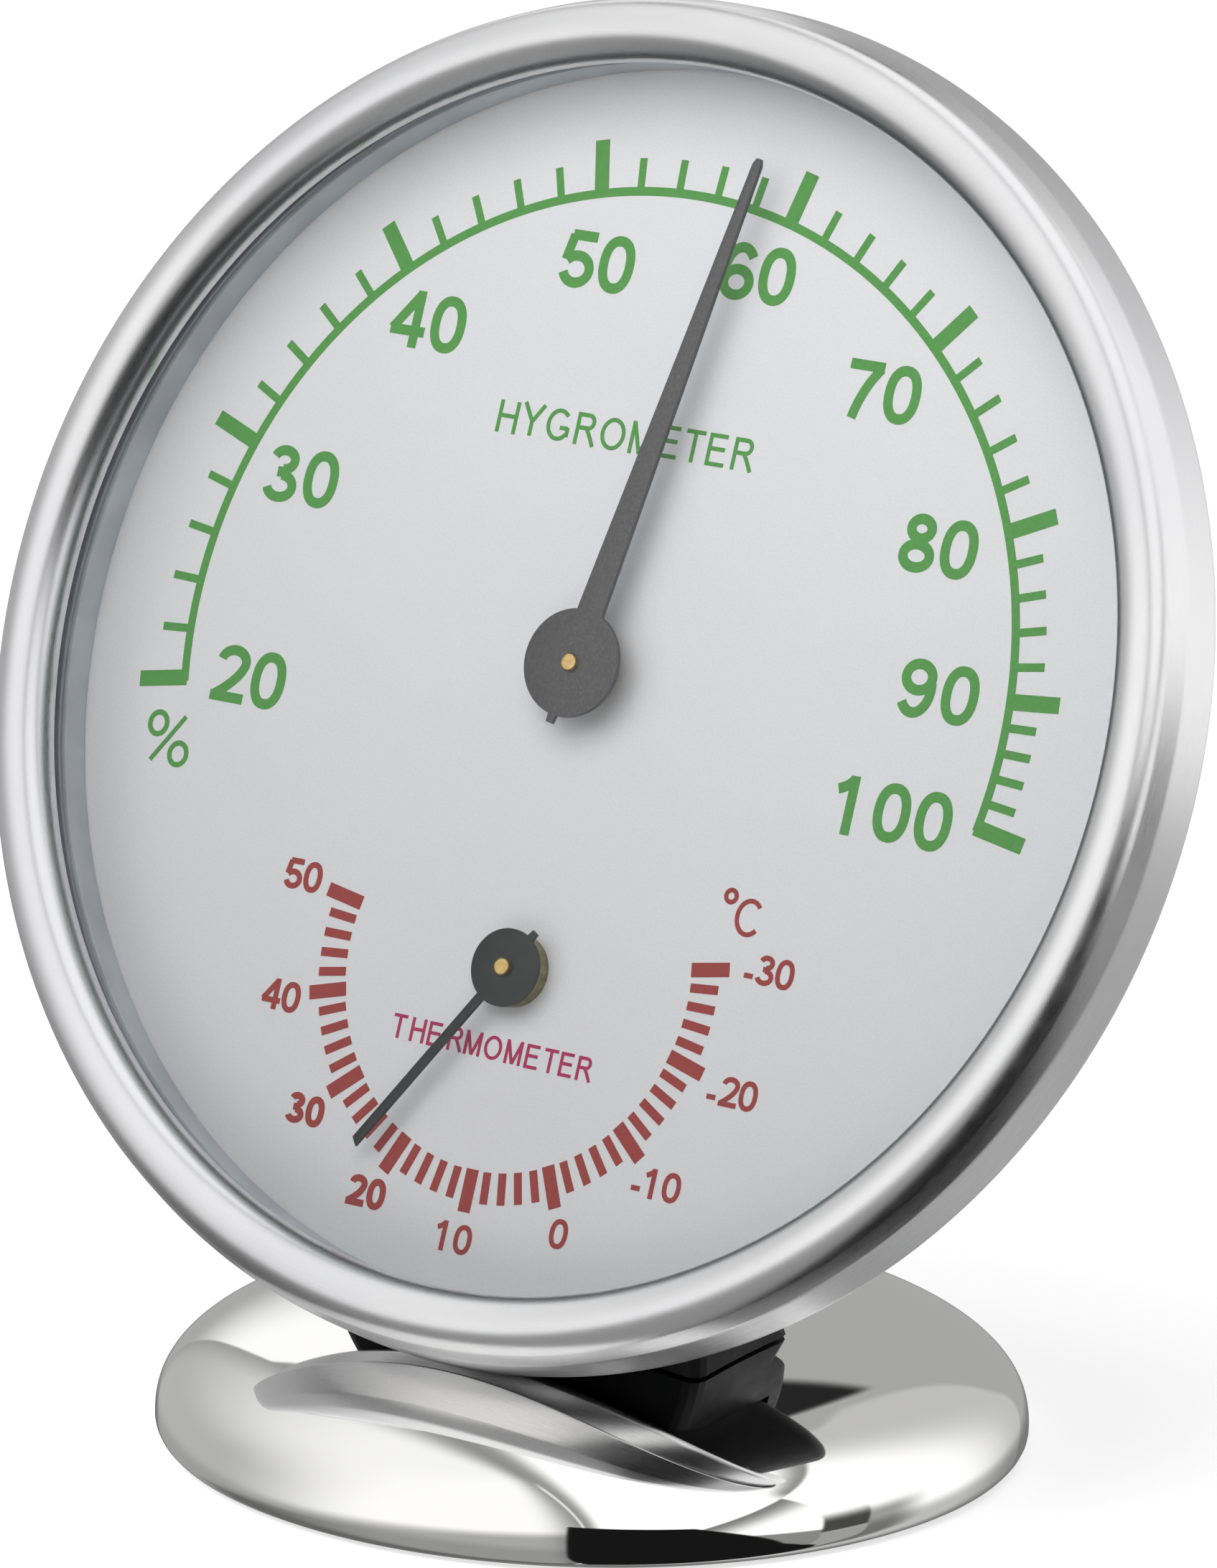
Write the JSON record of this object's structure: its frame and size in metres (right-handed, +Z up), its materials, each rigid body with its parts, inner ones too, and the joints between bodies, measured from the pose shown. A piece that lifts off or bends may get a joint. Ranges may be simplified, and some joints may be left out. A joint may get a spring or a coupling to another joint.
{
  "type": "dial hygrometer",
  "caption": "Round tilted dial instrument with a large humidity scale over a small temperature scale, in a metal bezel on a short neck and a domed chrome foot.",
  "frame": {"origin": "middle of the foot, on the surface it stands on", "axes": "+Z up, the dial faces -Y, +X towards the right of the dial as it is read"},
  "size_m": [0.1298, 0.083, 0.1353],
  "materials": {
    "brushed_steel": "fine circular brushing",
    "clear_glass": "clear",
    "black_rubber": "matt",
    "grey_rubber": "matt",
    "spacer_grey": "satin",
    "dial_grey": "satin silver grey",
    "black_plastic": "fine satin",
    "zinc_steel": "plated",
    "brass": "turned",
    "pointer_grey": "satin dark grey",
    "coil_film": "translucent film on metal",
    "olive_brass": "dull",
    "pointer_black": "matt black",
    "bimetal": "satin",
    "chrome": "mirror",
    "cast_iron": "as cast"
  },
  "bodies": {
    "root": {"bezel_ring": "brushed_steel", "glass_lens": "clear_glass", "lens_gasket": "grey_rubber", "dial_spacer": "spacer_grey", "dial_plate": "dial_grey", "rear_housing": "brushed_steel", "back_cover": "black_plastic", "cover_screw_1": "zinc_steel", "cover_screw_2": "zinc_steel", "cover_screw_3": "zinc_steel", "hygrometer_bush": "brass", "hygroscopic_coil": "coil_film", "coil_bridge": "zinc_steel", "bridge_screw_1": "zinc_steel", "bridge_screw_2": "zinc_steel", "thermometer_bush": "olive_brass", "thermometer_coil": "bimetal", "thermometer_post": "brass", "neck": "black_plastic", "neck_screw_1": "zinc_steel", "neck_screw_2": "zinc_steel", "base_dome": "chrome", "base_plate": "zinc_steel", "ballast_disc": "cast_iron", "base_bolt": "zinc_steel", "foot_pad_1": "black_rubber", "foot_pad_2": "black_rubber", "foot_pad_3": "black_rubber", "foot_pad_4": "black_rubber"},
    "hygrometer_hand": {"hygrometer_pointer": "pointer_grey", "hygrometer_spindle": "brass"},
    "thermometer_hand": {"thermometer_pointer": "pointer_black", "thermometer_spindle": "brass"},
    "calibrator": {"calibration_screw": "brass", "calibration_arm": "brass"}
  },
  "joints": [
    {"name": "humidity_reading", "type": "hinge", "parent": "root", "child": "hygrometer_hand", "pos_m": [-0.0023, 0.00046, 0.07422], "axis": [0, -0.935, 0.3546], "range_deg": [-90.6, 109.4], "stiffness_Nm_per_rad": 0.02},
    {"name": "temperature_reading", "type": "hinge", "parent": "root", "child": "thermometer_hand", "pos_m": [-0.0028, -0.00982, 0.0471], "axis": [0, -0.935, 0.3546], "range_deg": [-67, 133], "stiffness_Nm_per_rad": 0.02},
    {"name": "calibration_turn", "type": "hinge", "parent": "root", "child": "calibrator", "pos_m": [-0.0023, 0.00046, 0.07422], "axis": [0, -0.935, 0.3546], "range_deg": [-20, 20]}
  ]
}
